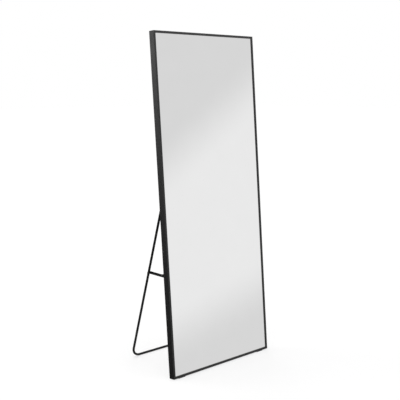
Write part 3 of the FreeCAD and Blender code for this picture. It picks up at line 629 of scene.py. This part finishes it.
bolt_low, bolt_high = own_box("hinge_bolts", mirror_axes, left_only=True)
bolt_length = bolt_high[0] - bolt_low[0]
socket = hexagon(bolt_socket)
bolts = turned_pair("hinge_bolts", [
    (socket * socket_floor, bolt_socket_depth),
    (socket, bolt_socket_depth - fine_edge),
    (socket, fine_edge),
    (socket * bolt_socket_mouth, 0.0),
    *dome(bolt_head_radius, bolt_head_height * domed_share, bolt_flat),
    (bolt_head_radius, bolt_head_height - fine_edge),
    (bolt_head_radius - fine_edge, bolt_head_height),
    (bolt_shank + fine_edge, bolt_head_height),
    (bolt_shank, bolt_head_height + fine_edge),
    (bolt_shank, bolt_length - thread_length - fine_edge),
    *thread(bolt_shank, bolt_length - thread_length, bolt_length - thread_depth),
    (bolt_shank - thread_depth, bolt_length - fine_edge),
    (bolt_shank - thread_depth - fine_edge, bolt_length),
])
skinned_piece("button_head_bolts", bolts, black_zinc, "mirror", "hinge_bolts")

# Black nylon has a silky sheen over a very fine grain.
nylon = moulded("black_nylon", dark="#141414", light="#1f1f1f", roughness=0.4, grain=0.5 * MM,
                detail=2.0, relief=0.02 * MM, strength=0.3)
washer_low, washer_high = own_box("hinge_washers", mirror_axes, left_only=True)
inner_washer = (washer_high - washer_low)[0] - washer_thickness
washer = flat_ring(bolt_shank + pin_fit, washer_radius, washer_thickness)
washers = [ring for start in (0.0, inner_washer)
           for ring in turned_pair("hinge_washers", washer, around=True, start=start)]
skinned_piece("nylon_washers", washers, nylon, "mirror", "hinge_washers")

nut_hexagon = hexagon(nut_across_flats)
nut_hole = bolt_shank + pin_fit
nuts = turned_pair("hinge_lock_nuts", [
    (nut_hole, fine_edge),
    (nut_hole + fine_edge, 0.0),
    (np.minimum(nut_hexagon, nut_bearing), 0.0),
    (np.minimum(nut_hexagon, nut_shoulder), nut_chamfer_start),
    (nut_hexagon, nut_bottom_chamfer),
    (nut_hexagon, nut_hexagon_height - nut_top_chamfer),
    (np.minimum(nut_hexagon, nut_shoulder), nut_hexagon_height - nut_chamfer_start),
    (np.minimum(nut_hexagon, nut_top), nut_hexagon_height),
    (nut_collar_radius, nut_hexagon_height),
    (nut_collar_radius, nut_height - collar_roll),
    (nut_collar_radius - collar_shoulder, nut_height - collar_shoulder),
    (nut_collar_radius - collar_roll, nut_height),
    (nut_collar_radius - collar_lip, nut_height - collar_sunk),
    (nut_hole, nut_height - collar_sunk),
], around=True)
skinned_piece("lock_nuts", nuts, black_zinc, "mirror", "hinge_lock_nuts")

# ---------------------------------------------------------------- folding stays
# Each stay is two punched flat links, riveted to each other, to the leg and to the stay bracket.
# Solid rivets with low round heads leave the links free to turn, and nylon spacers keep them
# apart. The rear link's nose is folded over the front one, which stops the stay when straight.
rivet_radius = 2.5 * MM
rivet_head_radius = 4.3 * MM
rivet_head_height = 1.2 * MM
rivet_flat = 0.3 * rivet_head_radius
spacer_radius = 5.2 * MM


def rivet(length, outer_head, inner_head):
    """Stations of a rivet: a low round head, or a chamfered end, at each end of its shank."""
    head = [*dome(rivet_head_radius, rivet_head_height * domed_share, rivet_flat),
            (rivet_head_radius, rivet_head_height - fine_edge / 2),
            (rivet_head_radius - fine_edge, rivet_head_height), (rivet_radius, rivet_head_height)]
    plain = [(rivet_radius - fine_edge, 0.0), (rivet_radius, fine_edge)]
    near_end, far_end = head if outer_head else plain, head if inner_head else plain
    return [*near_end, *((radius, length - depth) for radius, depth in reversed(far_end))]


def spacer(length):
    """Stations of a spacer on a rivet."""
    return flat_ring(rivet_radius + pin_fit, spacer_radius, length)


def span(node):
    """How far a turned piece reaches sideways, on the left."""
    low, high = own_box(node, mirror_axes, left_only=True)
    return high[0] - low[0]


for node, name, body in (("stay_rivets", "stay_bracket_rivets", "mirror"),
                         ("leg_rivets", "leg_joint_rivets", "stand")):
    rivets = turned_pair(node, rivet(span(node), True, True))
    skinned_piece(name, rivets, black_zinc, body, node)
spacers = turned_pair("leg_spacers", spacer(span("leg_spacers")), around=True)
skinned_piece("leg_joint_spacers", spacers, nylon, "stand", "leg_spacers")

outer_half = turned_pair("left_elbow_rivet_rear", rivet(span("left_elbow_rivet_rear"), True, False))
inner_half = turned_pair("left_elbow_rivet_front", rivet(span("left_elbow_rivet_front"), False, True))
elbow_ring = turned_pair("left_elbow_spacer", spacer(span("left_elbow_spacer")), around=True)
for side, outer, inner, ring in zip(("left", "right"), outer_half, inner_half, elbow_ring):
    for link in (f"{side}_front_link", f"{side}_rear_link"):
        eased_copy(link, steel_coat, link, press_edge)
    for end, half in (("rear", outer), ("front", inner)):
        skinned_piece(f"{side}_elbow_{end}_half_rivet", [half], black_zinc, f"{side}_{end}_link",
                      f"{side}_elbow_rivet_{end}")
    skinned_piece(f"{side}_elbow_ring", [ring], nylon, f"{side}_rear_link",
                  f"{side}_elbow_spacer")

# ---------------------------------------------------------------- floor and studio
# A plain white studio. The floor keeps the mirror's soft shadow, and glows up to the backdrop's
# white over the few steps away from the mirror, so that no line shows between the two. Only the
# camera sees the glow, other rays meet matt white, and no reflection shows the floor.
white = (1, 1, 1, 1)
floor_reach = 40.0
shadow_reach = 0.5
fade_reach = 7.0
near_glow = 0.66
far_glow = 0.84

floor_mesh = bpy.data.meshes.new("studio_floor")
floor_corners = floor_reach * np.array([(-1, -1, 0), (1, -1, 0), (1, 1, 0), (-1, 1, 0)])
floor_mesh.from_pydata(floor_corners, [], [(0, 1, 2, 3)])
studio_floor = bpy.data.objects.new("studio_floor", floor_mesh)
bpy.context.scene.collection.objects.link(studio_floor)
studio_floor.visible_glossy = False
floor_paint = bpy.data.materials.new("white_studio_floor")
floor_paint.use_nodes = True
tree = floor_paint.node_tree
tree.nodes.clear()
place = add_node(tree, "ShaderNodeTexCoord").outputs["Object"]
distance = add_node(tree, "ShaderNodeVectorMath", {0: place}, operation="LENGTH")
away = add_node(tree, "ShaderNodeMapRange", {
    "Value": distance.outputs["Value"], "From Min": shadow_reach, "From Max": fade_reach,
    "To Min": near_glow, "To Max": far_glow}, interpolation_type="SMOOTHSTEP")
matt = add_node(tree, "ShaderNodeBsdfDiffuse", {"Color": linear("#e6e6e6")})
shade = add_node(tree, "ShaderNodeBsdfDiffuse", {"Color": linear("#999999")})
rays = add_node(tree, "ShaderNodeLightPath")
glow = add_node(tree, "ShaderNodeEmission", {"Color": white, "Strength": away.outputs["Result"]})
seen = add_node(tree, "ShaderNodeAddShader", {0: shade.outputs[0], 1: glow.outputs[0]})
pick = add_node(tree, "ShaderNodeMixShader", {
    "Fac": rays.outputs["Is Camera Ray"], 1: matt.outputs[0], 2: seen.outputs[0]})
add_node(tree, "ShaderNodeOutputMaterial", {"Surface": pick.outputs[0]})
floor_mesh.materials.append(floor_paint)

# What the mirror and the black coat show: in front a pale grey wall with one soft lighter band
# over a grey floor, and behind a white wall over a dark floor. Each border is a slanted plane
# through the mirror, given by its unit normal. The band and the floor fade over 3 or 4 degrees,
# and the front goes over into the rear over about 30.
band_bottom, band_bottom_fade = (0.4717, 0.3724, -0.7993), 0.0715
band_top, band_top_fade = (-0.1719, -0.3766, 0.9103), 0.0701
to_rear, rear_fade = (-0.65, 0.76, 0.0), 0.5
off_ground, ground_edge, ground_fade = (0.068, -0.079, 0.9945), -0.17, 0.05

world = bpy.data.worlds.new("white_studio")
bpy.context.scene.world = world
world.use_nodes = True
tree = world.node_tree
tree.nodes.clear()
direction = add_node(tree, "ShaderNodeTexCoord").outputs["Generated"]


def past_plane(normal, start, width):
    """How far a direction is past a plane, from 0 to 1: its height over the plane, faded."""
    height = add_node(tree, "ShaderNodeVectorMath", {0: direction, 1: normal}, operation="DOT_PRODUCT")
    share = add_node(tree, "ShaderNodeMapRange", {
        "Value": height.outputs["Value"], "From Min": start - width / 2, "From Max": start + width / 2},
        interpolation_type="SMOOTHSTEP")
    return share.outputs["Result"]


behind = past_plane(to_rear, 0.0, rear_fade)
band = add_node(tree, "ShaderNodeMath", {
    0: past_plane(band_bottom, 0.0, band_bottom_fade), 1: past_plane(band_top, 0.0, band_top_fade)},
    operation="MULTIPLY")
front_wall = add_node(tree, "ShaderNodeMix", {
    "Factor": band.outputs["Value"], "A": linear("#e0e0e0"), "B": linear("#f4f4f4")}, data_type="RGBA")
wall = add_node(tree, "ShaderNodeMix", {
    "Factor": behind, "A": front_wall.outputs["Result"], "B": white}, data_type="RGBA")
ground = add_node(tree, "ShaderNodeMix", {
    "Factor": behind, "A": linear("#c8c8c8"), "B": linear("#1c1c1c")}, data_type="RGBA")
reflected = add_node(tree, "ShaderNodeMix", {
    "Factor": past_plane(off_ground, ground_edge, ground_fade), "A": ground.outputs["Result"],
    "B": wall.outputs["Result"]}, data_type="RGBA")

# Matt surfaces are lit by an even light grey, and the camera sees plain white.
rays = add_node(tree, "ShaderNodeLightPath")
lit = add_node(tree, "ShaderNodeMix", {
    "Factor": rays.outputs["Is Glossy Ray"], "A": linear("#c8c8c8"), "B": reflected.outputs["Result"]},
    data_type="RGBA")
straight = add_node(tree, "ShaderNodeMath", {
    0: rays.outputs["Is Camera Ray"], 1: rays.outputs["Is Transmission Ray"]}, operation="MAXIMUM")
backdrop = add_node(tree, "ShaderNodeMix", {
    "Factor": straight.outputs["Value"], "A": lit.outputs["Result"], "B": white}, data_type="RGBA")
sky = add_node(tree, "ShaderNodeBackground", {"Color": backdrop.outputs["Result"], "Strength": 1.0})
add_node(tree, "ShaderNodeOutputWorld", {"Surface": sky.outputs[0]})

# ---------------------------------------------------------------- lamps and camera
# Four large square softboxes: overhead, in front to the right, and behind on both sides. The
# camera stands on the mirror's left and in front of it, at chest height.


def point_at(thing, place, target):
    """Puts a lamp or the camera at a place and turns it to look at a target."""
    thing.location = place
    thing.rotation_euler = (Vector(target) - Vector(place)).to_track_quat("-Z", "Y").to_euler()


def softbox(name, place, target, width, watts):
    """A square studio softbox that lights the mirror without showing in the picture."""
    lamp = bpy.data.lights.new(name, "AREA")
    lamp.size = width
    lamp.energy = watts
    thing = bpy.data.objects.new(name, lamp)
    bpy.context.scene.collection.objects.link(thing)
    thing.visible_camera = False
    point_at(thing, place, target)


softbox("overhead_softbox", place=(-0.6, 0.2, 3.2), target=(0, 0, 0.4), width=2.6, watts=60)
softbox("front_softbox", place=(2.4, -2.6, 3.2), target=(0, 0, 0.9), width=1.8, watts=22)
softbox("rear_left_softbox", place=(-2.6, 2.7, 2.2), target=(-0.3, 0, 1.2), width=2.0, watts=18)
softbox("rear_right_softbox", place=(2.2, 3.0, 2.6), target=(0, 0, 0.8), width=2.0, watts=32)

# The camera's place, heading and lens come from a fit of the mirror's straight edges in the
# photograph, in the photograph's own square frame.
camera_place = np.array((-2.346, -2.563, 1.255))
heading = math.radians(42.70)
dip = math.radians(8.35)
camera_data = bpy.data.cameras.new("camera")
camera_data.sensor_width = 36.0
camera_data.lens = 68.05
camera = bpy.data.objects.new("camera", camera_data)
bpy.context.scene.collection.objects.link(camera)
sight = np.array((math.sin(heading) * math.cos(dip), math.cos(heading) * math.cos(dip), -math.sin(dip)))
point_at(camera, camera_place, camera_place + sight)
bpy.context.scene.camera = camera
bpy.context.scene.view_settings.view_transform = "Standard"
